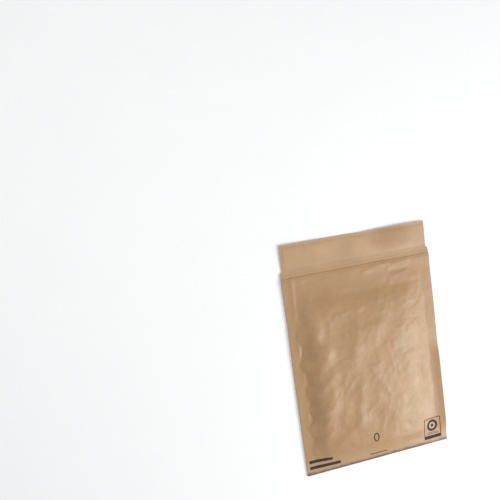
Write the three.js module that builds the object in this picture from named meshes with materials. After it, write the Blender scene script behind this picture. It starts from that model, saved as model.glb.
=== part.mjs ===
// A padded paper envelope that lies on its back with its closing flap open and flat.
// Millimetres, +Z up. X runs across the envelope and Y from the bottom fold to the flap's free edge.
//
// One outer web and one inner web of kraft paper are folded together at the bottom. Each panel holds
// a flat pad between its two plies, and glue joins the plies round the pad. Glue along both sides joins
// the two inner plies, which leaves a pocket that opens at the front panel's lip.
import * as THREE from "three";

// Outline
const WIDTH = 178; // across the glued side seams
const BODY_LENGTH = 229; // from the bottom fold to the front panel's lip
const FLAP_LENGTH = 38; // from the lip to the flap's free edge
const FLAP_INSET = 2.3; // how far each side of the flap is trimmed back
const SHOULDER_RISE = 7; // from the lip to the step where the flap narrows
const SHOULDER_LENGTH = 1.2; // the step itself, cut at a slant
const LINER_OVERRUN = 4; // how far the inner web's back end passes the lip
const LINER_SETBACK = 1; // how far the inner web's front end stops short of the lip

// Layers
const PLY = 0.2; // one web of paper
const CLEARANCE = 0.05; // between two pieces that lie on each other
const PLY_GLUE = 0.1; // glue between the two plies of a panel
const SEAM_GLUE = 0.15; // glue between the front and the back panel
const PAD_THICKNESS = 2;
const POCKET_HEIGHT = 5.2; // the open space between the panels at the middle

// Bands round the pads
const SEAM_WIDTH = 12; // the glued strip along each side
const PAD_SIDE_MARGIN = 14; // from a side edge to the pad
const PAD_FOLD_MARGIN = 10; // from the bottom fold to the pad
const PAD_LIP_MARGIN = 22; // from the lip to the pad
const PAD_TAPER = 9; // the pad thins to nothing over this width
const PAD_GAP = 0.3; // between the pad's rim and the glue round it
const GLUE_EDGE_MARGIN = 0.5; // glue stops short of the paper's cut edge
const GLUE_FOLD_MARGIN = 3; // and of the fold
const GLUE_LIP_MARGIN = 3; // and of the lip

// Closing strip on the flap
const ADHESIVE_WIDTH = 18;
const ADHESIVE_LENGTH = 160;
const LINER_STRIP_WIDTH = 24;
const LINER_STRIP_LENGTH = 168;
const STRIP_THICKNESS = 0.1;
const STRIP_EDGE_MARGIN = 4; // from the flap's free edge to the release liner

// Crown of the front panel
const CROWN_SIDE_POWER = 4; // a higher power makes the middle flatter
const CROWN_FOLD_LENGTH = 55; // the front panel climbs from the fold over this length
const CROWN_FOLD_POWER = 2.5;
const LIP_DROP = 0.02; // share of its height that the crown loses at the lip

// Worked out from the sizes above
const HALF_WIDTH = WIDTH / 2;
const TOTAL_LENGTH = BODY_LENGTH + FLAP_LENGTH;
const BOND = PLY_GLUE + 2 * CLEARANCE; // between the plies of a panel where they are glued
const SEAM_GAP = SEAM_GLUE + 2 * CLEARANCE; // between the panels where they are glued
const EDGE_HEIGHT = 4 * PLY + 2 * BOND + SEAM_GAP; // all the layers at a side seam
const FOLD_RADIUS = EDGE_HEIGHT / 2;
const PAD_GROWTH = PAD_THICKNESS - PLY_GLUE;
const FRONT_LIFT = PAD_GROWTH + POCKET_HEIGHT - SEAM_GAP;
const POCKET_HALF = HALF_WIDTH - SEAM_WIDTH;
const PAD_HALF = HALF_WIDTH - PAD_SIDE_MARGIN;
const PAD_START = PAD_FOLD_MARGIN;
const PAD_END = BODY_LENGTH - PAD_LIP_MARGIN;
const GLUE_HALF = HALF_WIDTH - GLUE_EDGE_MARGIN;
const GLUE_START = GLUE_FOLD_MARGIN;
const GLUE_END = BODY_LENGTH - GLUE_LIP_MARGIN;
const SHOULDER_Y = BODY_LENGTH + SHOULDER_RISE;

// Materials

const kraft = new THREE.MeshStandardMaterial({ color: 0xc49a74, roughness: 0.72, metalness: 0 });
const liner = new THREE.MeshStandardMaterial({ color: 0xb98f69, roughness: 0.8, metalness: 0 });
const wadding = new THREE.MeshStandardMaterial({ color: 0xd9c7ac, roughness: 0.95, metalness: 0 });
const glue = new THREE.MeshStandardMaterial({ color: 0xe6ddc8, roughness: 0.4, metalness: 0 });
const strip = new THREE.MeshStandardMaterial({ color: 0xc9a27c, roughness: 0.5, metalness: 0 });

// Shape of the layers

const clamp = (value) => Math.min(Math.max(value, 0), 1);

// 1 over the flat of a pad, 0 on the glued bands round it, and a straight taper between.
function padShare(x, y) {
  const fromRim = Math.min(PAD_HALF - Math.abs(x), y - PAD_START, PAD_END - y);
  return clamp(fromRim / PAD_TAPER);
}

// 1 at the middle of the front panel, 0 at the side seams and at the fold.
function crownShare(x, y) {
  const across = clamp(1 - (Math.abs(x) / POCKET_HALF) ** CROWN_SIDE_POWER);
  const fromFold = clamp((y - FOLD_RADIUS) / CROWN_FOLD_LENGTH);
  const along = 1 - (1 - fromFold) ** CROWN_FOLD_POWER;
  const nearLip = clamp((y - PAD_END) / PAD_LIP_MARGIN);
  return across * along * (1 - LIP_DROP * nearLip);
}

// Height of each ply's lower face.
const outerBack = () => 0;
const innerBack = (x, y) => PLY + BOND + PAD_GROWTH * padShare(x, y);
const innerFront = (x, y) => 2 * PLY + BOND + SEAM_GAP + FRONT_LIFT * crownShare(x, y);
const outerFront = (x, y) => innerFront(x, y) + PLY + BOND + PAD_GROWTH * padShare(x, y);

// Half the width of the outer web at a distance from the fold: the flap is narrower than the body.
function webHalfWidth(y) {
  const pastShoulder = clamp((y - SHOULDER_Y) / SHOULDER_LENGTH);
  return HALF_WIDTH - FLAP_INSET * pastShoulder;
}

// Grid lines that every layer shares, so that neighbours keep their clearance all over.

// The numbers from a to b in equal steps, without b itself.
function spread(a, b, steps) {
  return Array.from({ length: steps }, (_, i) => a + ((b - a) * i) / steps);
}

const halfColumns = [
  ...spread(0, PAD_HALF - PAD_TAPER, 5),
  ...spread(PAD_HALF - PAD_TAPER, PAD_HALF, 2),
  PAD_HALF,
  PAD_HALF + PAD_GAP,
  POCKET_HALF,
  GLUE_HALF,
  HALF_WIDTH,
];
const columns = [...halfColumns.slice(1).map((x) => -x).reverse(), ...halfColumns];
const rows = [
  FOLD_RADIUS,
  GLUE_START,
  PAD_START - PAD_GAP,
  PAD_START,
  PAD_START + PAD_TAPER,
  ...spread(PAD_START + 2 * PAD_TAPER, CROWN_FOLD_LENGTH, 2),
  ...spread(CROWN_FOLD_LENGTH, PAD_END - PAD_TAPER, 4),
  PAD_END - PAD_TAPER,
  PAD_END,
  PAD_END + PAD_GAP,
  GLUE_END,
];

const within = (values, low, high) => values.filter((value) => value >= low && value <= high);

// A closed solid over a grid. inner and outer give its two faces as points, and the outer face is the
// one that the normal of (us, vs) points to. keep says which cells the solid fills.
function gridSolid(us, vs, inner, outer, keep = () => true) {
  const corners = [inner, outer].flatMap((face) => vs.flatMap((v) => us.map((u) => face(u, v))));
  const corner = (i, j, side) => (side * vs.length + j) * us.length + i;
  const filled = (i, j) => {
    if (i < 0 || j < 0 || i > us.length - 2 || j > vs.length - 2) return false;
    return keep((us[i] + us[i + 1]) / 2, (vs[j] + vs[j + 1]) / 2);
  };
  const index = [];
  const quad = (a, b, c, d) => index.push(a, b, c, a, c, d);
  for (let j = 0; j < vs.length - 1; j++) {
    for (let i = 0; i < us.length - 1; i++) {
      if (!filled(i, j)) continue;
      const [a, b] = [corner(i, j, 0), corner(i + 1, j, 0)];
      const [c, d] = [corner(i + 1, j + 1, 0), corner(i, j + 1, 0)];
      const [e, f] = [corner(i, j, 1), corner(i + 1, j, 1)];
      const [g, h] = [corner(i + 1, j + 1, 1), corner(i, j + 1, 1)];
      quad(e, f, g, h);
      index.push(a, c, b, a, d, c);
      if (!filled(i, j - 1)) quad(a, b, f, e);
      if (!filled(i, j + 1)) quad(c, d, h, g);
      if (!filled(i - 1, j)) quad(d, a, e, h);
      if (!filled(i + 1, j)) quad(b, c, g, f);
    }
  }
  const geometry = new THREE.BufferGeometry();
  geometry.setAttribute("position", new THREE.Float32BufferAttribute(corners.flat(), 3));
  geometry.setIndex(index);
  geometry.computeVertexNormals();
  return geometry;
}

function addPiece(name, geometry, material) {
  const piece = new THREE.Mesh(geometry, material);
  piece.name = name;
  envelope.add(piece);
  return piece;
}

// A web of paper that runs down the back, round the bottom fold and up the front. Distance along the
// web is measured from its back end, on the outside of the fold.
function foldedWeb({ backRows, frontRows, foldRadius, foldSteps, backFace, frontFace, halfWidth }) {
  const backRun = backRows[0] - FOLD_RADIUS;
  const frontStart = backRun + Math.PI * foldRadius;
  const along = [
    ...backRows.map((y) => backRows[0] - y),
    ...spread(backRun, frontStart, foldSteps).slice(1),
    ...frontRows.map((y) => frontStart + y - FOLD_RADIUS),
  ];
  const face = (depth) => (u, s) => {
    if (s <= backRun) {
      const y = backRows[0] - s;
      const x = (u * halfWidth(y)) / HALF_WIDTH;
      return [x, y, backFace(x, y) + depth];
    }
    if (s >= frontStart) {
      const y = FOLD_RADIUS + s - frontStart;
      return [u, y, frontFace(u, y) + PLY - depth];
    }
    const turn = (s - backRun) / foldRadius;
    const radius = foldRadius - depth;
    return [u, FOLD_RADIUS - radius * Math.sin(turn), FOLD_RADIUS - radius * Math.cos(turn)];
  };
  return gridSolid(columns, along, face(PLY), face(0));
}

const envelope = new THREE.Group();
envelope.position.y = -TOTAL_LENGTH / 2;

// Webs of paper

function addOuterSheet() {
  const flapRows = [BODY_LENGTH, SHOULDER_Y, SHOULDER_Y + SHOULDER_LENGTH, TOTAL_LENGTH];
  const web = foldedWeb({
    backRows: [...rows, ...flapRows].reverse(),
    frontRows: [...rows, BODY_LENGTH],
    foldRadius: FOLD_RADIUS,
    foldSteps: 8,
    backFace: outerBack,
    frontFace: outerFront,
    halfWidth: webHalfWidth,
  });
  addPiece("outer_sheet", web, kraft);
}

function addInnerSheet() {
  const web = foldedWeb({
    backRows: [...rows, BODY_LENGTH + LINER_OVERRUN].reverse(),
    frontRows: [...rows, BODY_LENGTH - LINER_SETBACK],
    foldRadius: FOLD_RADIUS - PLY - BOND,
    foldSteps: 6,
    backFace: innerBack,
    frontFace: innerFront,
    halfWidth: () => HALF_WIDTH,
  });
  addPiece("inner_sheet", web, liner);
}

// Layers between the plies

// below gives the top of the ply under a panel's layers, and above the underside of the ply over them.
// The outer web's rows run down the back panel and up the front one, and the layers follow them.
const backPanel = { below: () => PLY, above: innerBack, rowsRunDown: true };
const frontPanel = { below: (x, y) => innerFront(x, y) + PLY, above: outerFront, rowsRunDown: false };

function addLayer(name, material, panel, xLimit, yLow, yHigh, keep) {
  const bottom = (x, y) => [x, y, panel.below(x, y) + CLEARANCE];
  const top = (x, y) => [x, y, panel.above(x, y) - CLEARANCE];
  const across = within(columns, -xLimit, xLimit);
  const along = within(rows, yLow, yHigh);
  const layer = panel.rowsRunDown
    ? gridSolid(across, along.reverse(), top, bottom, keep)
    : gridSolid(across, along, bottom, top, keep);
  addPiece(name, layer, material);
}

function besidePad(x, y) {
  const pastSide = Math.abs(x) > PAD_HALF + PAD_GAP;
  const pastEnd = y < PAD_START - PAD_GAP || y > PAD_END + PAD_GAP;
  return pastSide || pastEnd;
}

function addPanelLayers(side, panel) {
  addLayer(`${side}_padding`, wadding, panel, PAD_HALF, PAD_START, PAD_END);
  addLayer(`${side}_ply_glue`, glue, panel, GLUE_HALF, GLUE_START, GLUE_END, besidePad);
}

// Glue along both sides, between the front and the back panel.
function addSeamGlue(name, side) {
  const width = GLUE_HALF - POCKET_HALF;
  const length = GLUE_END - GLUE_START;
  const bead = addPiece(name, new THREE.BoxGeometry(width, length, SEAM_GLUE), glue);
  bead.position.set(side * (POCKET_HALF + width / 2), GLUE_START + length / 2, FOLD_RADIUS);
}

// A flat strip across the flap, with its lower face at a height.
function addFlapStrip(name, material, length, width, height) {
  const piece = addPiece(name, new THREE.BoxGeometry(length, width, STRIP_THICKNESS), material);
  const middle = TOTAL_LENGTH - STRIP_EDGE_MARGIN - LINER_STRIP_WIDTH / 2;
  piece.position.set(0, middle, height + STRIP_THICKNESS / 2);
}

function addClosingStrip() {
  const adhesiveHeight = PLY + CLEARANCE;
  const linerHeight = adhesiveHeight + STRIP_THICKNESS + CLEARANCE;
  addFlapStrip("seal_adhesive", glue, ADHESIVE_LENGTH, ADHESIVE_WIDTH, adhesiveHeight);
  addFlapStrip("release_liner", strip, LINER_STRIP_LENGTH, LINER_STRIP_WIDTH, linerHeight);
}

addOuterSheet();
addInnerSheet();
addPanelLayers("back", backPanel);
addPanelLayers("front", frontPanel);
addSeamGlue("left_seam_glue", -1);
addSeamGlue("right_seam_glue", 1);
addClosingStrip();

export default envelope;
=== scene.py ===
"""A padded kraft paper envelope that lies on its back on a plain pale floor, with its flap open.

Shapes are worked out in millimetres. X runs across the envelope, Y runs up the panels from the bottom
fold to the flap's free edge, and Z is up. A mesh is turned into the CAD frame's metres when it is placed.
"""

import math

import bpy
import numpy as np
from mathutils import Matrix, Vector


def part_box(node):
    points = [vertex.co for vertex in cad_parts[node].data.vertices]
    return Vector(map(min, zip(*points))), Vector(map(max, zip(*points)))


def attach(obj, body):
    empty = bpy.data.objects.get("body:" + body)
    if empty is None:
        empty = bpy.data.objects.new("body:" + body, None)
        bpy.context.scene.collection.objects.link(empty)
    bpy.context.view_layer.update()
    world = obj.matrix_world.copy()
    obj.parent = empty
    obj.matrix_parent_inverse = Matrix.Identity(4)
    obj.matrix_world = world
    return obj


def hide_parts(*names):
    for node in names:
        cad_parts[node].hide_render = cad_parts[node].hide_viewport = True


bl_info = {
    "name": "Padded Envelope",
    "version": (1, 0, 0),
    "blender": (4, 5, 0),
    "location": "3D View > Sidebar > Envelope",
    "description": "Builds a padded kraft envelope round its CAD frame",
    "category": "Object",
}

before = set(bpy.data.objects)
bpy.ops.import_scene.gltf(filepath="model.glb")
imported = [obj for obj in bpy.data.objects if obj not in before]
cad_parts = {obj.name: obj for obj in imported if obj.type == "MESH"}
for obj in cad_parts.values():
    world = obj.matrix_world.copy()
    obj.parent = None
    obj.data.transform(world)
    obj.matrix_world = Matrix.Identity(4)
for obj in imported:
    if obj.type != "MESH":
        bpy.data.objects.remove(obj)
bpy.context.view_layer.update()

# ---------------------------------------------------------------------------------------------------
# Sizes, in millimetres, from the CAD nodes
# ---------------------------------------------------------------------------------------------------

MM = 0.001


def node_box(name):
    """Lowest and highest corner of a CAD node, in millimetres."""
    low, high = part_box(name)
    return low / MM, high / MM


WEB_LOW, WEB_HIGH = node_box("outer_sheet")
LINER_HIGH = node_box("inner_sheet")[1]
PAD_LOW, PAD_HIGH = node_box("front_padding")
BACK_PAD_LOW, BACK_PAD_HIGH = node_box("back_padding")
GLUE_LOW, GLUE_HIGH = node_box("front_ply_glue")
BACK_GLUE_LOW = node_box("back_ply_glue")[0]
SEAM_LOW, SEAM_HIGH = node_box("right_seam_glue")
ADHESIVE_LOW, ADHESIVE_HIGH = node_box("seal_adhesive")
STRIP_LOW, STRIP_HIGH = node_box("release_liner")

FOLD_Y = WEB_LOW.y  # the bottom fold, in the CAD frame
HALF_WIDTH = WEB_HIGH.x
TOTAL_LENGTH = WEB_HIGH.y - FOLD_Y
PLY = 0.2  # one web of paper
CLEARANCE = BACK_GLUE_LOW.z - PLY
PLY_GLUE = ADHESIVE_HIGH.z - ADHESIVE_LOW.z
BOND = PLY_GLUE + 2 * CLEARANCE  # between the plies of a panel where they are glued
SEAM_GLUE = SEAM_HIGH.z - SEAM_LOW.z
SEAM_GAP = SEAM_GLUE + 2 * CLEARANCE
FOLD_RADIUS = (SEAM_LOW.z + SEAM_HIGH.z) / 2
PAD_GROWTH = BACK_PAD_HIGH.z - BACK_PAD_LOW.z - PLY_GLUE
FRONT_LIFT = WEB_HIGH.z - 2 * FOLD_RADIUS - PAD_GROWTH
PAD_HALF = PAD_HIGH.x
PAD_START, PAD_END = PAD_LOW.y - FOLD_Y, PAD_HIGH.y - FOLD_Y
GLUE_HALF = GLUE_HIGH.x
GLUE_START, GLUE_END = GLUE_LOW.y - FOLD_Y, GLUE_HIGH.y - FOLD_Y
POCKET_HALF = SEAM_LOW.x
LINER_BACK_END = LINER_HIGH.y - FOLD_Y
GLUE_LIP_MARGIN = 3.0
LIP = GLUE_END + GLUE_LIP_MARGIN
LINER_FRONT_END = LIP - 1.0
SHOULDER = LIP + 7.0  # here the web narrows to the flap
SHOULDER_LENGTH = 1.2
FLAP_INSET = 2.3
PAD_TAPER = 13.0  # the pad thins out over this width along its left side and its lower end
RIGHT_TAPER = 1.7 * PAD_TAPER
LIP_TAPER = 22.0  # and over this width towards the lip
PAD_GAP = 0.3  # between a pad and the glue round it
STRIP_RIM = 2.6  # the closing strip's rim comes down to the flap over this width
STRIP_MARGIN = 4.0  # a strip's grid is finer this far in from each end
LEFT_SIDE_POWER = 6.5  # the left side of the pocket is full, with a steep shoulder
RIGHT_SIDE_POWER = 3.0  # the right side slopes off more gently
CROWN_FOLD_LENGTH = 55.0  # the front panel climbs from the fold over this length
CROWN_FOLD_POWER = 2.8  # the higher, the steeper that climb starts
CORNER_EASING = 2.2  # the climb from the fold is this much longer beside the right-hand seam
LEFT_CORNER_SHARE = 0.4  # the left-hand corner has this share of the easing
SAG_START = 135.0  # from here the front panel sinks towards the lip
SMOOTH_ANGLE = math.radians(38.0)

# Soft waves that lift the whole flap: place across it, half-width and height.
FLAP_WAVES = [(14.0, 17.0, 1.0), (-58.0, 26.0, 0.8), (56.0, 26.0, 1.9), (-88.0, 20.0, 0.6)]

# Print on the front panel. A bar has a left, right, lower and upper edge.
NUMERAL_CENTRE = (-4.0, 30.0)
NUMERAL_HALF = (3.4, 5.4)
NUMERAL_STROKE = 1.4
THIN_LINE = (-12.0, 10.0, 7.3, 8.4)
NAME_BARS = [(-85.5, -58.0, 14.2, 18.0), (-85.5, -48.5, 7.0, 10.8)]
LABEL = (59.5, 82.0, 6.0, 32.2)
LABEL_OUTLINE = 0.9
LABEL_BARS = [(60.4, 81.1, 6.9, 10.2), (62.5, 79.0, 11.7, 12.4), (64.0, 77.5, 13.4, 14.1)]
RING_CENTRE = (70.7, 22.6)
RING_OUTSIDE, RING_INSIDE, DOT = 7.2, 4.3, 1.9  # radii

# ---------------------------------------------------------------------------------------------------
# Creases of the front panel
# ---------------------------------------------------------------------------------------------------

# Each crease runs from its lower end (x, y) to its upper end (x, y). Then come how far it spreads to
# its left and to its right, and its height. A crease that runs across spreads up and down instead,
# and one with a negative height is a valley.
BODY_CREASES = [
    # top quarter of the pad
    ((-64, 184), (-61, 203), 7, 8, 0.6),
    ((-59, 166), (-57, 181), 9, 11, 1.3),
    ((-44, 181), (-43, 196), 9, 14, 0.6),
    ((-10, 173), (-8, 184), 9, 7, 0.5),
    ((14, 160), (24, 178), 12, 9, 0.9),
    ((15, 180), (21, 196), 12, 12, 0.5),
    ((40, 156), (50, 176), 15, 12, 0.5),
    ((64, 169), (80, 181), 6, 7, 0.5),
    # above the middle
    ((-53, 140), (-60, 160), 11, 9, 1.3),
    ((-62, 118), (-50, 138), 11, 9, 1.5),
    ((-34, 104), (-34, 122), 8, 12, 0.5),
    ((-19, 120), (-18, 138), 14, 12, 0.7),
    ((-16, 141), (-12, 156), 8, 16, 0.6),
    ((-13, 158), (14, 162), 5, 14, 0.5),
    ((40, 121), (42, 148), 16, 16, 0.55),
    ((52, 119), (77, 119), 5, 10, 0.45),
    ((52, 147), (76, 148), 7, 7, 0.4),
    # below the middle
    ((-66, 95), (-46, 113), 9, 7, 1.5),
    ((-58, 76), (-50, 93), 10, 9, 1.3),
    ((-64, 56), (-50, 78), 11, 9, 1.6),
    ((-38, 60), (-33, 76), 8, 8, 0.5),
    ((-20, 55), (-17, 78), 9, 16, 0.9),
    ((-16, 84), (-12, 101), 10, 10, 0.7),
    ((16, 86), (2, 108), 9, 8, 0.8),
    ((24, 48), (4, 78), 14, 12, 0.8),
    ((33, 54), (33, 78), 9, 14, 0.5),
    ((51, 62), (50, 100), 14, 14, 0.55),
    # bottom quarter
    ((-60, 41), (-54, 54), 10, 10, 1.2),
    ((-46, 33), (-20, 54), 9, 8, 1.0),
    ((16, 14), (23, 44), 14, 14, 0.7),
    ((46, 22), (58, 56), 14, 13, 0.3),
    # across the left-hand shoulder of the pad
    ((-77, 172), (-60, 176), 5, 6, 0.8),
    ((-78, 122), (-58, 141), 6, 7, 1.0),
    ((-77, 62), (-62, 72), 5, 7, 0.9),
    ((-76, 36), (-60, 46), 5, 7, 0.8),
]

EDGE_CREASES = [
    # the end of the pad
    ((-56, 201), (66, 200), 3.0, 4.0, -0.16),
    # across the band between the pad and the lip
    ((8, 221), (36, 226), 3.0, 3.5, 0.3),
    ((38, 221), (62, 227), 3.0, 3.0, 0.2),
    ((40, 211), (60, 214), 3.0, 3.0, 0.2),
    ((42, 217), (76, 216), 3.0, 4.0, -0.3),
    ((-60, 222), (-44, 224), 3.0, 4.0, -0.2),
    ((-34, 178), (-19, 181), 3.0, 4.0, 0.3),
    # along the side seams
    ((-79, 143), (-77, 228), 3.0, 1.8, 0.3),
    ((-80, 55), (-79, 72), 2.5, 2.0, 0.22),
    ((-79, 108), (-77, 122), 2.5, 2.0, 0.22),
]

# ---------------------------------------------------------------------------------------------------
# Shape functions
# ---------------------------------------------------------------------------------------------------


def ease(value):
    """0 below 0, 1 above 1, and a smooth step between."""
    share = np.clip(value, 0.0, 1.0)
    return share * share * (3.0 - 2.0 * share)


def bump(value):
    """A smooth hump, 1 at 0 and gone by about 2 either way."""
    return np.exp(-(value**2))


def lumps(x, y, size, seed):
    """Smooth gradient noise, about -1 to 1, with lumps of a size in x and y.

    Where a caller passes a coordinate times 0, the noise stays the same in that direction."""
    angles = np.random.default_rng(seed).uniform(0.0, 2.0 * math.pi, (64, 64))
    u, v = x / size[0] + 32.0, y / size[1] + 32.0
    column, row = np.floor(u).astype(int), np.floor(v).astype(int)
    u, v = u - column, v - row

    def corner(i, j):
        angle = angles[(row + j) % 64, (column + i) % 64]
        return np.cos(angle) * (u - i) + np.sin(angle) * (v - j)

    fade_u = u**3 * (u * (6.0 * u - 15.0) + 10.0)
    fade_v = v**3 * (v * (6.0 * v - 15.0) + 10.0)
    low = corner(0, 0) * (1.0 - fade_u) + corner(1, 0) * fade_u
    high = corner(0, 1) * (1.0 - fade_u) + corner(1, 1) * fade_u
    return 1.6 * (low * (1.0 - fade_v) + high * fade_v)


def turned(x, y, angle):
    """Coordinates along and across a direction, given in degrees from X."""
    c, s = math.cos(math.radians(angle)), math.sin(math.radians(angle))
    return x * c + y * s, y * c - x * s


def crease(x, y, start, end, left, right, height):
    """A soft ridge along a line, with a flank of its own width on each side."""
    run_x, run_y = end[0] - start[0], end[1] - start[1]
    length = math.hypot(run_x, run_y)
    run_x, run_y = run_x / length, run_y / length
    along = (x - start[0]) * run_x + (y - start[1]) * run_y
    across = (x - start[0]) * run_y - (y - start[1]) * run_x
    past_end = np.maximum(np.maximum(-along, along - length), 0.0)
    flank = np.where(across < 0.0, left, right)
    profile = np.exp(-(np.abs(across / flank) ** 1.5))
    return height * profile * bump(past_end / max(left, right))


def pad_share(x, y):
    """1 over the flat of a pad, 0 on the glued bands round it. The pad is pulled in here and there."""
    side = np.sign(x) * 9.0 + x * 0.05
    pulled_in = 2.5 + 4.0 * lumps(side, y, (20.0, 25.0), 3) + 2.2 * lumps(side, y, (20.0, 11.0), 4)
    taper = np.where(x < 0.0, PAD_TAPER, RIGHT_TAPER)
    across = ease((PAD_HALF - np.abs(x) - np.maximum(pulled_in, 0.0)) / taper)
    along = ease((y - PAD_START) / PAD_TAPER) * ease((PAD_END - y) / LIP_TAPER)
    return across * along


def seam_edge(x, y):
    """How far the pocket reaches from the middle: it wanders a little along each seam."""
    left = 4.5 * lumps(x * 0.3, y, (20.0, 20.0), 5) + 3.2 * lumps(x * 0.4, y, (20.0, 10.0), 6)
    right = 1.6 * lumps(x * 0.0, y, (20.0, 26.0), 7) + 0.8 * lumps(x * 0.0, y, (20.0, 10.0), 8)
    calm = ease((y - 4.0) / 14.0) * ease((LIP - y) / 60.0 + 0.25)
    return POCKET_HALF + np.where(x < 0.0, left, right) * calm


def crown_share(x, y):
    """1 at the middle of the front panel, 0 at the side seams and at the fold."""
    side_power = np.where(x < 0.0, LEFT_SIDE_POWER, RIGHT_SIDE_POWER)
    across = np.clip(1.0 - (np.abs(x) / seam_edge(x, y)) ** side_power, 0.0, 1.0)
    easing = CORNER_EASING * np.where(x < 0.0, LEFT_CORNER_SHARE, 1.0)
    fold_length = CROWN_FOLD_LENGTH * (1.0 + easing * (x / PAD_HALF) ** 2)
    from_fold = np.clip((y - FOLD_RADIUS) / fold_length, 0.0, 1.0)
    along = 1.0 - (1.0 - from_fold) ** CROWN_FOLD_POWER
    sag = SIZES["lip_sag"] * ease((y - SAG_START) / (LIP - SAG_START))
    wave = 0.02 * lumps(x, y * 0.0, (34.0, 20.0), 11) * ease((y - PAD_END) / 22.0)
    return across * along * (1.0 - sag + wave)


def lift(x, y):
    """How far all the layers rise off the floor together.

    The sides and the mouth rise a little, the right-hand seam turns up, and the flap lies in waves."""
    side = ease((np.abs(x) - 55.0) / 34.0) * ease((y - 2.0) / 40.0)
    body = side * (0.45 + 0.4 * lumps(x * 0.02, y, (40.0, 46.0), 21))
    mouth = 0.6 * ease((y - 212.0) / 16.0) * ease((240.0 - y) / 9.0)
    upturned = 1.9 * bump((x - 92.0) / 8.0) * ease((y - 8.0) / 18.0) * ease((128.0 - y) / 22.0)
    waves = sum(height * bump((x - middle) / half_width) for middle, half_width, height in FLAP_WAVES)
    flap = ease((y - LIP + 6.0) / (TOTAL_LENGTH - LIP)) * waves
    return body + mouth + upturned + flap


def relief(x, y):
    """Crumples of the front panel's outer ply, on top of its smooth shape."""
    pad = ease((80.0 - np.abs(x)) / 14.0) * ease((y - 4.0) / 16.0) * ease((LIP - 12.0 - y) / 22.0)
    along, across = turned(x, y, 62.0)
    along = along + 4.0 * lumps(x, y, (26.0, 24.0), 36)
    across = across + 4.0 * lumps(x, y, (24.0, 26.0), 37)
    folds = 1.15 * sum(crease(x, y, *line) for line in BODY_CREASES)
    folds = folds + 0.4 * lumps(along, across, (34.0, 28.0), 31)
    folds = folds - 0.45 * np.abs(lumps(along, across, (21.0, 16.0), 32))
    folds = folds - 0.2 * np.abs(lumps(along, across, (11.0, 9.0), 38))
    folds = folds + 0.04 * lumps(x, y, (6.0, 5.0), 33)

    edge = ease((y - 1.5) / 4.0)
    lines = 1.8 * sum(crease(x, y, *line) for line in EDGE_CREASES)
    fine = 0.075 * (1.0 + lumps(x, y, (11.0, 4.0), 34) - np.abs(lumps(x, y, (14.0, 9.0), 35)))
    seam_waves = 0.18 * lumps(x, y, (9.0, 17.0), 39) * ease((np.abs(x) - 70.0) / 8.0)
    return SIZES["crumple"] * (pad * folds + edge * (lines + fine + seam_waves))


def outer_back(x, y):
    """Lower face of the back panel's outer ply."""
    return 0.12 * pad_share(x, y) * (1.0 + lumps(x, y, (26.0, 22.0), 41))


def pressed(gap, y, glue_end):
    """A gap that glue takes up. Past the glue's end the paper is pressed together."""
    return gap * (1.0 - 0.85 * ease((y - glue_end) / 2.0))


def inner_back(x, y):
    """Lower face of the back panel's inner ply."""
    return outer_back(x, y) + PLY + pressed(BOND, y, LINER_BACK_END - 2.5) + PAD_GROWTH * pad_share(x, y)


def inner_front(x, y):
    """Lower face of the front panel's inner ply. The pad takes up part of the crumples."""
    crumple = relief(x, y) * (1.0 - 0.4 * pad_share(x, y))
    gap = pressed(SEAM_GAP, y, GLUE_END)
    height = 2 * PLY + BOND + gap + FRONT_LIFT * crown_share(x, y) + crumple
    return np.maximum(height, inner_back(x, y) + PLY + gap)


def outer_front(x, y):
    """Lower face of the front panel's outer ply."""
    pad = pad_share(x, y)
    return inner_front(x, y) + PLY + pressed(BOND, y, GLUE_END) + pad * (PAD_GROWTH + 0.4 * relief(x, y))


def web_half_width(y):
    """Half the width of the outer web: the flap is a little narrower than the body."""
    return HALF_WIDTH - FLAP_INSET * np.clip((y - SHOULDER) / SHOULDER_LENGTH, 0.0, 1.0)


def front_drift(x, y):
    """How far the front panel's lip strays along Y."""
    return (0.5 * lumps(x, y * 0.0, (48.0, 20.0), 51) + 0.35 * bump(x / 60.0)) * ease((y - 190.0) / 38.0)


def shared_drift(x, y):
    """How far every layer strays in its plane, so that no cut edge is dead straight."""
    across = 0.35 * lumps(x * 0.0, y, (20.0, 70.0), 52) * np.abs(x) / HALF_WIDTH
    fold = 0.25 * lumps(x, y * 0.0, (40.0, 20.0), 53) * ease((20.0 - y) / 20.0)
    flap = -0.9 * bump((x - 10.0) / 14.0) * ease((y - 243.0) / 24.0)
    return across, fold + flap


# ---------------------------------------------------------------------------------------------------
# Meshes
# ---------------------------------------------------------------------------------------------------


def stations(*stretches):
    """Places along a line. Each stretch is its start, its end and its number of equal steps."""
    starts = [np.linspace(a, b, steps, endpoint=False) for a, b, steps in stretches]
    return np.concatenate([*starts, [stretches[-1][1]]])


def deselect_all():
    bpy.ops.object.select_all(action="DESELECT")


def points_of(piece):
    """The vertices of a mesh as an array."""
    found = np.zeros(len(piece.data.vertices) * 3)
    piece.data.vertices.foreach_get("co", found)
    return found.reshape(-1, 3)


def set_points(piece, x, y, z):
    piece.data.vertices.foreach_set("co", np.stack([x, y, z], 1).ravel())
    piece.data.update()


def new_grid(name, xs, ys):
    """A flat sheet of quads with its lines at given places, in millimetres."""
    deselect_all()
    columns, rows = len(xs) - 1, len(ys) - 1
    bpy.ops.mesh.primitive_grid_add(x_subdivisions=columns, y_subdivisions=rows, size=1)
    piece = bpy.context.active_object
    piece.name = piece.data.name = name
    at = points_of(piece)
    column = np.rint((at[:, 0] + 0.5) * columns).astype(int)
    row = np.rint((at[:, 1] + 0.5) * rows).astype(int)
    set_points(piece, xs[column], ys[row], at[:, 2])
    return piece


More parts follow.
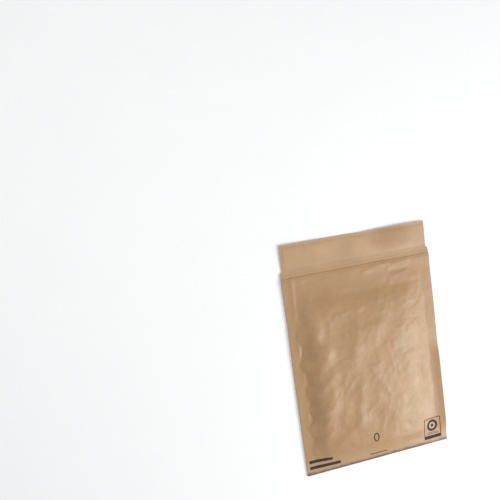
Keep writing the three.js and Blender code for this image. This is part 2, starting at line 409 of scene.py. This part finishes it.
def place(piece, x, y, z, front):
    """Settles a piece with its neighbours and turns millimetres into the CAD frame's metres.

    front is 1 where a point belongs to the front panel and 0 where it belongs to the back."""
    across, along = shared_drift(x, y)
    along = along + front * front_drift(x, y)
    set_points(piece, (x + across) * MM, (y + along + FOLD_Y) * MM, (z + lift(x, y)) * MM)


def mark(piece, name, values):
    """Keeps one number for each vertex, for a material to read."""
    layer = piece.data.attributes.new(name, "FLOAT", "POINT")
    layer.data.foreach_set("value", np.asarray(values, np.float32))


def crest(height, x, y, reach=1.6):
    """How sharply a surface turns down round each point: above 0 on a ridge, below 0 in a valley."""
    around = height(x + reach, y) + height(x - reach, y) + height(x, y + reach) + height(x, y - reach)
    return (height(x, y) - around / 4.0) / reach


def select_only(piece):
    deselect_all()
    piece.select_set(True)
    bpy.context.view_layer.objects.active = piece


def apply_modifiers(piece):
    select_only(piece)
    for modifier in list(piece.modifiers):
        bpy.ops.object.modifier_apply(modifier=modifier.name)


def shade_smooth(piece):
    select_only(piece)
    bpy.ops.object.shade_smooth_by_angle(angle=SMOOTH_ANGLE)


def give_thickness(piece, thickness, materials):
    """Solidifies a sheet away from its outer face. The second material goes on the far side."""
    for material in materials:
        piece.data.materials.append(material)
    solid = piece.modifiers.new("paper", "SOLIDIFY")
    solid.thickness = thickness * MM
    solid.offset = -1.0
    solid.material_offset = len(materials) - 1
    solid.material_offset_rim = len(materials) - 1
    apply_modifiers(piece)
    shade_smooth(piece)


def folded_web(name, xs, back_ys, front_ys, fold_steps, radius, back_face, front_face, half_width):
    """A web of paper that runs down the back, round the bottom fold and up the front.

    The web starts as one flat sheet. Distance along it is measured from its back end, on the outside
    of the fold. back_face and front_face give the height of its outer face."""
    back_run = back_ys[0] - FOLD_RADIUS
    front_start = back_run + math.pi * radius
    fold = np.linspace(back_run, front_start, fold_steps + 1)[1:-1]
    along = np.concatenate([back_ys[0] - back_ys, fold, front_start + front_ys - FOLD_RADIUS])
    piece = new_grid(name, xs, along)
    x, run = points_of(piece)[:, 0], points_of(piece)[:, 1]
    turn = np.clip((run - back_run) / radius, 0.0, math.pi)
    back, front = run <= back_run, run >= front_start
    y = FOLD_RADIUS - radius * np.sin(turn)
    y = np.where(back, back_ys[0] - run, np.where(front, FOLD_RADIUS + run - front_start, y))
    x = np.where(back, x * half_width(y) / HALF_WIDTH, x)
    z = FOLD_RADIUS - radius * np.cos(turn)
    z = np.where(back, back_face(x, y), np.where(front, front_face(x, y), z))
    mark(piece, "crest", np.where(front, crest(front_face, x, y), crest(back_face, x, y) * back))
    mark(piece, "cut", (run < 0.01) | (run > along[-1] - 0.01))
    place(piece, x, y, z, front.astype(float))
    return piece


def between(name, xs, ys, lower, upper, material, front, window=None):
    """A closed layer between two surfaces. window says which faces of the grid are left out."""
    piece = new_grid(name, xs, ys)
    if window is not None:
        flat = points_of(piece)
        bpy.ops.object.mode_set(mode="EDIT")
        bpy.ops.mesh.select_all(action="DESELECT")
        bpy.ops.object.mode_set(mode="OBJECT")
        for face in piece.data.polygons:
            face.select = bool(window(*flat[face.vertices].mean(0)[:2]))
        bpy.ops.object.mode_set(mode="EDIT")
        bpy.ops.mesh.delete(type="FACE")
        bpy.ops.object.mode_set(mode="OBJECT")
    bpy.ops.object.mode_set(mode="EDIT")
    bpy.ops.mesh.select_all(action="SELECT")
    bpy.ops.mesh.extrude_region_move(TRANSFORM_OT_translate={"value": (0.0, 0.0, 1.0)})
    bpy.ops.mesh.select_all(action="SELECT")
    bpy.ops.mesh.normals_make_consistent(inside=False)
    bpy.ops.object.mode_set(mode="OBJECT")
    x, y, side = points_of(piece).T
    z = np.where(side > 0.5, upper(x, y) - CLEARANCE, lower(x, y) + CLEARANCE)
    place(piece, x, y, z, np.full(len(x), float(front)))
    piece.data.materials.append(material)
    shade_smooth(piece)
    return piece


def hand_over(piece, node):
    """Lets a finished piece stand for its CAD node."""
    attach(piece, "root")
    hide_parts(node)


# ---------------------------------------------------------------------------------------------------
# Materials
# ---------------------------------------------------------------------------------------------------


class Layout:
    """Lays out the nodes of one material."""

    def __init__(self, name):
        self.material = bpy.data.materials.new(name)
        self.material.use_nodes = True
        self.tree = self.material.node_tree
        self.tree.nodes.clear()
        self.shader = self.node("ShaderNodeBsdfPrincipled")
        output = self.node("ShaderNodeOutputMaterial")
        self.tree.links.new(self.shader.outputs["BSDF"], output.inputs["Surface"])

    def node(self, kind, **settings):
        made = self.tree.nodes.new(kind)
        for key, value in settings.items():
            setattr(made, key, value)
        return made

    def put(self, socket, value):
        if isinstance(value, bpy.types.NodeSocket):
            self.tree.links.new(value, socket)
        else:
            socket.default_value = value

    def millimetres(self, scale=(1.0, 1.0, 1.0)):
        """The piece's own coordinates, in millimetres from the bottom fold."""
        place_of = self.node("ShaderNodeTexCoord").outputs["Object"]
        mapping = self.node("ShaderNodeMapping")
        self.put(mapping.inputs["Vector"], place_of)
        mapping.inputs["Scale"].default_value = [s / MM for s in scale]
        mapping.inputs["Location"].default_value = (0.0, -FOLD_Y * scale[1], 0.0)
        return mapping.outputs["Vector"]

    def math(self, operation, a, b=0.0, c=0.0):
        made = self.node("ShaderNodeMath", operation=operation)
        for socket, value in zip(made.inputs, (a, b, c)):
            self.put(socket, value)
        return made.outputs["Value"]

    def vector_math(self, operation, a, b):
        made = self.node("ShaderNodeVectorMath", operation=operation)
        self.put(made.inputs[0], a)
        self.put(made.inputs[1], b)
        return made.outputs["Vector"]

    def split(self, vector):
        """The X, Y and Z of a vector."""
        made = self.node("ShaderNodeSeparateXYZ")
        self.put(made.inputs["Vector"], vector)
        return made.outputs

    def length(self, vector):
        made = self.node("ShaderNodeVectorMath", operation="LENGTH")
        self.put(made.inputs[0], vector)
        return made.outputs["Value"]

    def noise(self, vector, scale, detail=2.0, roughness=0.5, distortion=0.0):
        made = self.node("ShaderNodeTexNoise")
        self.put(made.inputs["Vector"], vector)
        made.inputs["Scale"].default_value = scale
        made.inputs["Detail"].default_value = detail
        made.inputs["Roughness"].default_value = roughness
        made.inputs["Distortion"].default_value = distortion
        return made.outputs["Fac"]

    def cells(self, vector, scale, feature="F1"):
        made = self.node("ShaderNodeTexVoronoi", feature=feature)
        self.put(made.inputs["Vector"], vector)
        made.inputs["Scale"].default_value = scale
        return made.outputs["Distance"]

    def spread(self, value, low, high, to_low=0.0, to_high=1.0):
        """A value mapped from one range to another and held inside it."""
        made = self.node("ShaderNodeMapRange", clamp=True)
        for key, number in zip(("From Min", "From Max", "To Min", "To Max"), (low, high, to_low, to_high)):
            made.inputs[key].default_value = number
        self.put(made.inputs["Value"], value)
        return made.outputs["Result"]

    def mix(self, share, a, b):
        made = self.node("ShaderNodeMix", data_type="RGBA")
        self.put(made.inputs[0], share)
        self.put(made.inputs[6], a)
        self.put(made.inputs[7], b)
        return made.outputs[2]

    def attribute(self, name):
        return self.node("ShaderNodeAttribute", attribute_name=name).outputs["Fac"]

    def bump(self, height, distance, strength=1.0, under=None):
        made = self.node("ShaderNodeBump")
        made.inputs["Distance"].default_value = distance * MM
        made.inputs["Strength"].default_value = strength
        self.put(made.inputs["Height"], height)
        if under is not None:
            self.put(made.inputs["Normal"], under)
        return made.outputs["Normal"]

    def finish(self, colour, roughness, normal, **uniform):
        self.put(self.shader.inputs["Base Color"], colour)
        self.put(self.shader.inputs["Roughness"], roughness)
        if normal is not None:
            self.put(self.shader.inputs["Normal"], normal)
        for key, value in uniform.items():
            self.shader.inputs[key.replace("_", " ")].default_value = value
        return self.material


FLAP_BROWN_PATCH = (0.36, 0.178, 0.056, 1.0)  # a darker brown patch on the flap
PALE_FIBRES_AND_LIGHT = (0.52, 0.36, 0.21, 1.0)  # pale fibres and painted light at cut ends, and a painted sheen just above the bottom fold
SHEEN = {"IOR": 1.5, "Specular_IOR_Level": 0.9}  # calendered kraft
FLAP_SHEEN = {"IOR": 1.58, "Specular_IOR_Level": 0.9}  # the flap's face is a little glossier


def shade(colour, amount):
    """A colour made lighter or darker, with alpha."""
    return tuple(min(c * amount, 1.0) for c in colour[:3]) + (1.0,)


def paper_ground(layout, colour):
    """Kraft paper's own colour: cloudy pulp, streaks along the web, fine fibres and dark specks."""
    flat = layout.millimetres()
    web = layout.millimetres((1.0, 0.16, 1.0))
    cloud = layout.noise(flat, 0.035, 4.0, 0.55)
    streak = layout.noise(web, 0.55, 3.0, 0.6)
    fibre = layout.noise(layout.millimetres((1.0, 0.35, 1.0)), 2.6, 3.0, 0.7)
    speck = layout.spread(layout.noise(flat, 1.5, 2.0, 0.5), 0.70, 0.76)
    ground = layout.mix(layout.spread(cloud, 0.35, 0.65), shade(colour, 0.95), shade(colour, 1.05))
    ground = layout.mix(layout.spread(streak, 0.3, 0.7, 0.0, 0.35), ground, shade(colour, 0.86))
    ground = layout.mix(layout.spread(fibre, 0.45, 0.75, 0.0, 0.30), ground, shade(colour, 1.2))
    ground = layout.mix(layout.math("MULTIPLY", speck, 0.35), ground, shade(colour, 0.6))
    return ground, fibre


def worn_lit_and_shaded_folds(layout, ground, colour):
    """Paper lightens along its sharp ridges, partly scuffed fibres and partly a painted highlight, and its
    valleys get a painted shade.
    """
    fold = layout.attribute("crest")
    # ridges: pale fibres with a painted highlight; valleys: painted shade
    ridge = layout.spread(fold, 0.01, 0.08, 0.0, 0.22)
    valley = layout.spread(fold, -0.08, -0.01, 0.20, 0.0)
    pale = tuple(0.75 * c + 0.25 * 0.62 for c in colour[:3]) + (1.0,)
    ground = layout.mix(ridge, ground, shade(pale, 1.12))
    return layout.mix(valley, ground, shade(colour, 0.72))


def fold_shade_and_sheen(layout, ground, colour):
    """Painted shade along the bottom fold, in ragged patches, and a painted sheen on the paper just above
    it.
    """
    flat = layout.millimetres()
    ragged = layout.math("MULTIPLY_ADD", layout.noise(flat, 0.12, 4.0, 0.65), 7.0, -3.5)
    along = layout.math("ADD", layout.split(flat)["Y"], ragged)
    # painted sheen: the paper above the fold is mixed towards a pale colour
    ground = layout.mix(layout.spread(along, 22.0, 9.0, 0.0, 0.3), ground, PALE_FIBRES_AND_LIGHT)
    # painted shade: the fold itself is darkened
    return layout.mix(layout.spread(along, 1.6, 4.8, 1.0, 0.0), ground, shade(colour, 0.3))


def cut_ends_pale_and_lit(layout, ground):
    """The cut ends of a web show its pale fibres, with painted light on top that lifts the shade at the
    edge.
    """
    # pale fibres at the cut ends, with painted light lifting the shade there
    return layout.mix(layout.math("MULTIPLY", layout.attribute("cut"), 0.45), ground, PALE_FIBRES_AND_LIGHT)


def paper_bump(layout, fibre):
    """Fine crinkles under a fibre grain."""
    flat = layout.millimetres()
    crinkle = layout.cells(layout.millimetres((1.0, 0.8, 1.0)), 0.32, "DISTANCE_TO_EDGE")
    crinkle = layout.spread(crinkle, 0.0, 0.35)
    wave = layout.noise(flat, 0.38, 3.0, 0.55, 0.6)
    normal = layout.bump(crinkle, 0.05, 0.3)
    normal = layout.bump(wave, 0.28, 0.4, normal)
    return layout.bump(fibre, 0.03, 0.6, normal)


def print_mask(layout):
    """Where ink lies on the front panel: a numeral, a thin line, two bars and an outlined label."""
    flat = layout.millimetres()
    place_of = layout.split(flat)
    stray = layout.math("MULTIPLY_ADD", layout.noise(flat, 1.4), 0.2, -0.1)
    x = layout.math("ADD", place_of["X"], stray)
    y = layout.math("ADD", place_of["Y"], stray)

    def inside(left, right, lower, upper):
        near_x = layout.math("COMPARE", x, (left + right) / 2, (right - left) / 2)
        near_y = layout.math("COMPARE", y, (lower + upper) / 2, (upper - lower) / 2)
        return layout.math("MULTIPLY", near_x, near_y)

    def oval(centre, half_x, half_y):
        across = layout.math("MULTIPLY_ADD", x, 1 / half_x, -centre[0] / half_x)
        up = layout.math("MULTIPLY_ADD", y, 1 / half_y, -centre[1] / half_y)
        total = layout.math("MULTIPLY", across, across)
        return layout.math("LESS_THAN", layout.math("MULTIPLY_ADD", up, up, total), 1.0)

    def disc(radius):
        return oval(RING_CENTRE, radius, radius)

    def cut(mask, hole):
        return layout.math("SUBTRACT", mask, layout.math("MULTIPLY", mask, hole))

    hole_half = [half - NUMERAL_STROKE for half in NUMERAL_HALF]
    numeral = cut(oval(NUMERAL_CENTRE, *NUMERAL_HALF), oval(NUMERAL_CENTRE, *hole_half))
    left, right, lower, upper = LABEL
    rim = LABEL_OUTLINE
    outline = cut(inside(*LABEL), inside(left + rim, right - rim, lower + rim, upper - rim))
    ring = cut(disc(RING_OUTSIDE), disc(RING_INSIDE))
    ink = numeral
    for mask in (outline, ring, disc(DOT)):
        ink = layout.math("MAXIMUM", ink, mask)
    for bar in (THIN_LINE, *NAME_BARS, *LABEL_BARS):
        ink = layout.math("MAXIMUM", ink, inside(*bar))
    front = layout.math("GREATER_THAN", place_of["Z"], FOLD_RADIUS)
    return layout.math("MULTIPLY", ink, front)


def kraft_outer():
    """Outer face of the outer web, with its print."""
    layout = Layout("kraft outer, printed")
    ground, fibre = paper_ground(layout, COLOURS["kraft"])
    ground = worn_lit_and_shaded_folds(layout, ground, COLOURS["kraft"])
    ground = fold_shade_and_sheen(layout, ground, COLOURS["kraft"])
    ground = cut_ends_pale_and_lit(layout, ground)
    ink = print_mask(layout)
    thin = layout.spread(layout.noise(layout.millimetres(), 1.1, 3.0, 0.6), 0.35, 0.7, 1.0, 0.96)
    ground = layout.mix(layout.math("MULTIPLY", ink, thin), ground, COLOURS["ink"])
    rough = layout.spread(layout.noise(layout.millimetres(), 0.08, 3.0), 0.3, 0.7, 0.45, 0.53)
    rough = layout.math("MAXIMUM", rough, layout.math("MULTIPLY", ink, 0.85))
    return layout.finish(ground, rough, paper_bump(layout, fibre), **SHEEN)


def flap_sheen_and_brown_patch(layout, ground, colour):
    """Soft pale patches, a painted sheen, and one darker brown patch on the flap."""
    flat = layout.millimetres()
    ragged = layout.math("MULTIPLY_ADD", layout.noise(flat, 0.09, 3.0, 0.6), 26.0, -13.0)

    def patch(centre, reach, soft):
        """1 inside a soft oval, 0 well outside it."""
        offset = layout.vector_math("SUBTRACT", flat, (*centre, 0.0))
        scaled = layout.vector_math("MULTIPLY", offset, (1.0, reach[0] / reach[1], 0.0))
        distance = layout.math("ADD", layout.length(scaled), ragged)
        return layout.spread(distance, reach[0], reach[0] - soft)

    left = patch((-36.0, 253.0), (20.0, 10.0), 14.0)
    middle = patch((6.0, 250.0), (14.0, 14.0), 10.0)
    # painted sheen: the pale patches lighten the flap
    pale = layout.math("MULTIPLY", layout.math("MAXIMUM", left, middle), 0.8)
    brown_patch = layout.math("MULTIPLY", patch((46.0, 256.0), (32.0, 17.0), 16.0), 0.85)
    ground = layout.mix(pale, ground, shade(colour, 1.12))
    return layout.mix(brown_patch, ground, FLAP_BROWN_PATCH)


def kraft_reverse():
    """The other face of the outer web, which shows on the open flap."""
    layout = Layout("kraft reverse")
    colour = COLOURS["reverse"]
    ground, fibre = paper_ground(layout, colour)
    ground = flap_sheen_and_brown_patch(layout, worn_lit_and_shaded_folds(layout, ground, colour), colour)
    ground = cut_ends_pale_and_lit(layout, ground)
    return layout.finish(ground, 0.5, paper_bump(layout, fibre), **FLAP_SHEEN)


def kraft_inner():
    """Thin kraft that lines the pocket."""
    layout = Layout("kraft lining")
    ground, fibre = paper_ground(layout, COLOURS["lining"])
    ground = worn_lit_and_shaded_folds(layout, ground, COLOURS["lining"])
    ground = cut_ends_pale_and_lit(layout, ground)
    return layout.finish(ground, 0.52, paper_bump(layout, fibre), **SHEEN)


def cushion():
    """Loose expanded cushioning: soft round beads of pulp pressed together."""
    layout = Layout("cushioning")
    flat = layout.millimetres()
    bead = layout.cells(flat, 0.42)
    dust = layout.noise(flat, 1.8, 4.0, 0.65)
    colour = COLOURS["cushioning"]
    # painted shade: bead middles are lighter and the gaps between beads darker
    ground = layout.mix(layout.spread(bead, 0.1, 0.8), shade(colour, 1.12), shade(colour, 0.7))
    ground = layout.mix(layout.spread(dust, 0.4, 0.7, 0.0, 0.4), ground, shade(colour, 1.2))
    normal = layout.bump(layout.math("SUBTRACT", 1.0, bead), 0.7, 0.8)
    normal = layout.bump(dust, 0.15, 0.7, normal)
    return layout.finish(ground, 0.93, normal, Specular_IOR_Level=0.2)


def dried_glue(name, colour, roughness):
    """Glue rolled on in a thin uneven film."""
    layout = Layout(name)
    flat = layout.millimetres()
    film = layout.noise(flat, 0.6, 4.0, 0.6, 0.8)
    bubble = layout.cells(flat, 0.9)
    ground = layout.mix(layout.spread(film, 0.3, 0.7), shade(colour, 0.85), shade(colour, 1.1))
    ground = layout.mix(layout.spread(bubble, 0.0, 0.25, 0.35, 0.0), ground, shade(colour, 1.3))
    normal = layout.bump(film, 0.12, 0.7)
    rough = layout.spread(film, 0.3, 0.7, roughness - 0.08, roughness + 0.1)
    return layout.finish(ground, rough, normal, Specular_IOR_Level=0.5)


def release_paper():
    """Smooth silicone-coated kraft strip over the adhesive."""
    layout = Layout("release paper")
    colour = COLOURS["peel_strip"]
    ground, fibre = paper_ground(layout, colour)
    ground = flap_sheen_and_brown_patch(layout, ground, colour)
    return layout.finish(ground, 0.5, paper_bump(layout, fibre), **FLAP_SHEEN)


# ---------------------------------------------------------------------------------------------------
# Settings
# ---------------------------------------------------------------------------------------------------

SIZES = {"lip_sag": 0.98, "crumple": 1.0}
COLOURS = {
    "kraft": (0.395, 0.221, 0.087, 1.0),
    "reverse": (0.44, 0.262, 0.118, 1.0),
    "lining": (0.42, 0.235, 0.093, 1.0),
    "ink": (0.008, 0.002, 0.001, 1.0),
    "cushioning": (0.62, 0.5, 0.36, 1.0),
    "glue": (0.72, 0.66, 0.52, 1.0),
    "adhesive": (0.75, 0.7, 0.58, 1.0),
    "peel_strip": (0.44, 0.262, 0.118, 1.0),
}


class EnvelopeSizes(bpy.types.PropertyGroup):
    """Sizes that can be changed without leaving the CAD frame."""

    lip_sag: bpy.props.FloatProperty(
        name="Lip sag",
        description="Share of its height that the front panel loses between the pad and the lip",
        default=SIZES["lip_sag"],
        min=0.0,
        max=0.99,
        subtype="FACTOR",
    )
    crumple: bpy.props.FloatProperty(
        name="Crumple",
        description="Depth of the crumples in the front panel, as a share of the usual depth",
        default=SIZES["crumple"],
        min=0.0,
        max=2.5,
        subtype="FACTOR",
    )


def colour_property(key, name, description):
    return bpy.props.FloatVectorProperty(
        name=name, description=description, default=COLOURS[key], size=4, min=0.0, max=1.0, subtype="COLOR"
    )


class EnvelopeColours(bpy.types.PropertyGroup):
    """Colours of the papers, the ink and what is between the plies."""

    kraft: colour_property("kraft", "Kraft", "Outer web of paper, printed face")
    reverse: colour_property("reverse", "Reverse", "Other face of the outer web, which shows on the flap")
    lining: colour_property("lining", "Lining", "Inner web of paper")
    ink: colour_property("ink", "Ink", "Print on the front panel")
    cushioning: colour_property("cushioning", "Cushioning", "Pads between the plies")
    glue: colour_property("glue", "Glue", "Glue between the plies and along the seams")
    adhesive: colour_property("adhesive", "Adhesive", "Closing strip on the flap")
    peel_strip: colour_property("peel_strip", "Peel strip", "Release paper over the closing strip")


class StudioSettings(bpy.types.PropertyGroup):
    """Strength of the studio's lights."""

    key_power: bpy.props.FloatProperty(
        name="Key light", description="Power of the light on the left", default=0.8, min=0.0, unit="POWER"
    )
    sheen_power: bpy.props.FloatProperty(
        name="Sheen light",
        description="Power of the wide light on the right that the paper reflects",
        default=6.2,
        min=0.0,
        unit="POWER",
    )
    fill: bpy.props.FloatProperty(
        name="Fill", description="Strength of the even light from all round", default=0.66, min=0.0
    )


def read_settings():
    """Copies the panel's settings to where the shape functions and materials read them."""
    scene = bpy.context.scene
    for key in SIZES:
        SIZES[key] = getattr(scene.envelope_sizes, key)
    for key in COLOURS:
        COLOURS[key] = tuple(getattr(scene.envelope_colours, key))


# ---------------------------------------------------------------------------------------------------
# Operators
# ---------------------------------------------------------------------------------------------------


class BuildOperator:
    """Shared part of every operator here: it builds its pieces and fails loudly."""

    bl_options = {"REGISTER", "UNDO"}

    def execute(self, context):
        read_settings()
        self.build(context)
        return {"FINISHED"}


class ENVELOPE_OT_outer_web(BuildOperator, bpy.types.Operator):
    """Folds the outer web of kraft paper: front panel, back panel and flap in one sheet"""

    bl_idname = "envelope.outer_web"
    bl_label = "Add Outer Web"

    def build(self, context):
        xs = stations((-HALF_WIDTH, HALF_WIDTH, 142))
        back_ys = stations((TOTAL_LENGTH, LIP, 30), (LIP, 12.0, 86), (12.0, FOLD_RADIUS, 9))
        front_ys = stations((FOLD_RADIUS, 12.0, 11), (12.0, LIP, 174))
        piece = folded_web(
            "kraft_web", xs, back_ys, front_ys, 10, FOLD_RADIUS,
            outer_back, lambda x, y: outer_front(x, y) + PLY, web_half_width,
        )
        give_thickness(piece, PLY, [kraft_outer(), kraft_reverse()])
        hand_over(piece, "outer_sheet")


class ENVELOPE_OT_inner_web(BuildOperator, bpy.types.Operator):
    """Folds the inner web that lines the pocket"""

    bl_idname = "envelope.inner_web"
    bl_label = "Add Inner Web"

    def build(self, context):
        radius = FOLD_RADIUS - PLY - BOND
        back_ys = stations((LINER_BACK_END, 12.0, 110), (12.0, FOLD_RADIUS, 9))
        front_ys = stations((FOLD_RADIUS, 12.0, 9), (12.0, LINER_FRONT_END, 130))
        xs = stations((-HALF_WIDTH, HALF_WIDTH, 110))
        piece = folded_web(
            "lining_web", xs, back_ys, front_ys, 8, radius,
            inner_back, lambda x, y: inner_front(x, y) + PLY, lambda y: HALF_WIDTH + 0.0 * y,
        )
        give_thickness(piece, PLY, [kraft_inner()])
        hand_over(piece, "inner_sheet")


class ENVELOPE_OT_pads(BuildOperator, bpy.types.Operator):
    """Lays a cushion between the plies of each panel"""

    bl_idname = "envelope.pads"
    bl_label = "Add Pads"

    def build(self, context):
        xs = stations((-PAD_HALF, PAD_HALF, 84))
        ys = stations((PAD_START, PAD_END, 110))
        material = cushion()
        back = between(
            "back_pad", xs, ys, lambda x, y: outer_back(x, y) + PLY, inner_back, material, front=False
        )
        front = between(
            "front_pad", xs, ys, lambda x, y: inner_front(x, y) + PLY, outer_front, material, front=True
        )
        for piece, node in ((back, "back_padding"), (front, "front_padding")):
            hand_over(piece, node)


class ENVELOPE_OT_ply_glue(BuildOperator, bpy.types.Operator):
    """Runs glue round each pad, between the plies of its panel"""

    bl_idname = "envelope.ply_glue"
    bl_label = "Add Ply Glue"

    def build(self, context):
        half, start, end = PAD_HALF + PAD_GAP, PAD_START - PAD_GAP, PAD_END + PAD_GAP
        xs = stations((-GLUE_HALF, -half, 8), (-half, half, 84), (half, GLUE_HALF, 8))
        ys = stations((GLUE_START, start, 5), (start, end, 110), (end, GLUE_END, 14))
        material = dried_glue("ply glue", COLOURS["glue"], 0.42)

        def window(x, y):
            return abs(x) < half and start < y < end

        back = between(
            "back_glue_frame", xs, ys, lambda x, y: outer_back(x, y) + PLY, inner_back, material,
            front=False, window=window,
        )
        front = between(
            "front_glue_frame", xs, ys, lambda x, y: inner_front(x, y) + PLY, outer_front, material,
            front=True, window=window,
        )
        hand_over(back, "back_ply_glue")
        hand_over(front, "front_ply_glue")


class ENVELOPE_OT_seam_glue(BuildOperator, bpy.types.Operator):
    """Runs glue down both sides, between the two panels"""

    bl_idname = "envelope.seam_glue"
    bl_label = "Add Seam Glue"

    def build(self, context):
        ys = stations((GLUE_START, GLUE_END, 150))
        material = dried_glue("seam glue", COLOURS["glue"], 0.42)
        for side, name in ((-1, "left"), (1, "right")):
            edges = sorted((side * POCKET_HALF, side * GLUE_HALF))
            xs = stations((edges[0], edges[1], 9))
            piece = between(
                f"{name}_seam_bead", xs, ys, lambda x, y: inner_back(x, y) + PLY, self.top, material, False
            )
            hand_over(piece, f"{name}_seam_glue")

    @staticmethod
    def top(x, y):
        """The glue stays a thin film where the front panel lifts off it."""
        return np.minimum(inner_front(x, y), inner_back(x, y) + PLY + 2.0 * SEAM_GAP)


class ENVELOPE_OT_closing_strip(BuildOperator, bpy.types.Operator):
    """Lays the adhesive and its release paper across the flap"""

    bl_idname = "envelope.closing_strip"
    bl_label = "Add Closing Strip"

    def build(self, context):
        adhesive = dried_glue("closing adhesive", COLOURS["adhesive"], 0.36)
        parts = (
            ("adhesive_strip", "seal_adhesive", "adhesive", adhesive, ADHESIVE_LOW, ADHESIVE_HIGH),
            ("peel_strip", "release_liner", "release_paper", release_paper(), STRIP_LOW, STRIP_HIGH),
        )
        for name, node, slot, material, low, high in parts:
            left, right = low.x + STRIP_MARGIN, high.x - STRIP_MARGIN
            xs = stations((low.x, left, 5), (left, right, 124), (right, high.x, 5))
            ys = stations((low.y - FOLD_Y, high.y - FOLD_Y, 24))
            faces = [self.face(low, high, height) for height in (low.z - CLEARANCE, high.z + CLEARANCE)]
            piece = between(name, xs, ys, *faces, material, False)
            hand_over(piece, node)

    @staticmethod
    def face(low, high, height):
        """A face at a height that comes down to the flap along its rim."""
        thickness = (high.z - low.z) + 2 * CLEARANCE

        def at(x, y):
            from_side = np.minimum(x - low.x, high.x - x)
            from_end = np.minimum(y + FOLD_Y - low.y, high.y - y - FOLD_Y)
            pressed = np.minimum(from_side, from_end) / STRIP_RIM
            above = height - (PLY + CLEARANCE) - (thickness if height > low.z else 0.0)
            return height - above * (1.0 - ease(pressed))

        return at


class ENVELOPE_OT_stage(BuildOperator, bpy.types.Operator):
    """Sets a pale floor, soft lights and the camera"""

    bl_idname = "envelope.stage"
    bl_label = "Set Stage"

    def build(self, context):
        studio = context.scene.studio_settings
        self.floor()
        self.light(
            "key light", place_mm=(-350, 350, 600), aim_mm=(0, 0, 0), size_mm=(420, 420),
            power=studio.key_power, colour=(1.0, 0.985, 0.96),
        )
        self.light(
            "sheen light", place_mm=(660, -380, 545), aim_mm=(40, 0, 0), size_mm=(600, 500),
            power=studio.sheen_power, colour=(1.0, 0.99, 0.98),
        )
        world = bpy.data.worlds.new("studio")
        context.scene.world = world
        world.use_nodes = True
        background = world.node_tree.nodes["Background"]
        background.inputs["Color"].default_value = (0.97, 0.985, 1.0, 1.0)
        background.inputs["Strength"].default_value = studio.fill
        context.scene.view_settings.view_transform = "Standard"
        self.camera()

    @staticmethod
    def floor():
        deselect_all()
        bpy.ops.mesh.primitive_plane_add(size=8.0, location=(0.0, 0.0, -0.15 * MM))
        plane = bpy.context.active_object
        plane.name = "floor"
        bpy.ops.object.transform_apply(location=True, rotation=False, scale=False)
        layout = Layout("floor")
        grain = layout.noise(layout.millimetres(), 0.02, 3.0)
        darker, paler = (0.95, 0.95, 0.952, 1.0), (0.96, 0.96, 0.962, 1.0)
        tone = layout.mix(layout.spread(grain, 0.3, 0.7), darker, paler)
        plane.data.materials.append(layout.finish(tone, 0.9, None, Specular_IOR_Level=0.1))

    @staticmethod
    def light(name, place_mm, aim_mm, size_mm, power, colour):
        lamp = bpy.data.lights.new(name, "AREA")
        lamp.shape = "RECTANGLE"
        lamp.size, lamp.size_y = (size * MM for size in size_mm)
        lamp.energy = power
        lamp.color = colour
        holder = bpy.data.objects.new(name, lamp)
        holder.location = Vector(place_mm) * MM
        aim = Vector(aim_mm) * MM - holder.location
        holder.rotation_euler = aim.to_track_quat("-Z", "Y").to_euler()
        bpy.context.scene.collection.objects.link(holder)

    @staticmethod
    def camera():
        """Looks down on the envelope from beyond its flap, with the bottom fold low in the view."""
        lens = bpy.data.cameras.new("camera")
        lens.lens = 39.5
        holder = bpy.data.objects.new("camera", lens)
        place_of, aim = Vector((-241.3, 211.9, 564.6)) * MM, Vector((-117.6, 134.2, 0.0)) * MM
        turn = (aim - place_of).to_track_quat("-Z", "Y").to_matrix().to_4x4()
        roll = Matrix.Rotation(math.radians(113.0), 4, "Z")
        holder.matrix_world = Matrix.Translation(place_of) @ turn @ roll
        bpy.context.scene.collection.objects.link(holder)
        bpy.context.scene.camera = holder


class ENVELOPE_PT_panel(bpy.types.Panel):
    """Lists the envelope's settings and operators"""

    bl_idname = "ENVELOPE_PT_panel"
    bl_label = "Padded Envelope"
    bl_space_type = "VIEW_3D"
    bl_region_type = "UI"
    bl_category = "Envelope"

    def draw(self, context):
        for name in GROUPS:
            group = getattr(context.scene, name)
            box = self.layout.box()
            for key in group.__annotations__:
                box.prop(group, key)
        for operator in OPERATORS:
            self.layout.operator(operator.bl_idname)


OPERATORS = (
    ENVELOPE_OT_stage,
    ENVELOPE_OT_outer_web,
    ENVELOPE_OT_inner_web,
    ENVELOPE_OT_pads,
    ENVELOPE_OT_ply_glue,
    ENVELOPE_OT_seam_glue,
    ENVELOPE_OT_closing_strip,
)
GROUPS = {
    "envelope_sizes": EnvelopeSizes,
    "envelope_colours": EnvelopeColours,
    "studio_settings": StudioSettings,
}


def register():
    for kind in (*GROUPS.values(), *OPERATORS, ENVELOPE_PT_panel):
        bpy.utils.register_class(kind)
    for key, group in GROUPS.items():
        setattr(bpy.types.Scene, key, bpy.props.PointerProperty(type=group))


def unregister():
    for key in GROUPS:
        delattr(bpy.types.Scene, key)
    for kind in reversed((*GROUPS.values(), *OPERATORS, ENVELOPE_PT_panel)):
        bpy.utils.unregister_class(kind)


def main():
    register()
    bpy.ops.envelope.stage()
    bpy.ops.envelope.outer_web()
    bpy.ops.envelope.inner_web()
    bpy.ops.envelope.pads()
    bpy.ops.envelope.ply_glue()
    bpy.ops.envelope.seam_glue()
    bpy.ops.envelope.closing_strip()


if __name__ == "__main__":
    main()
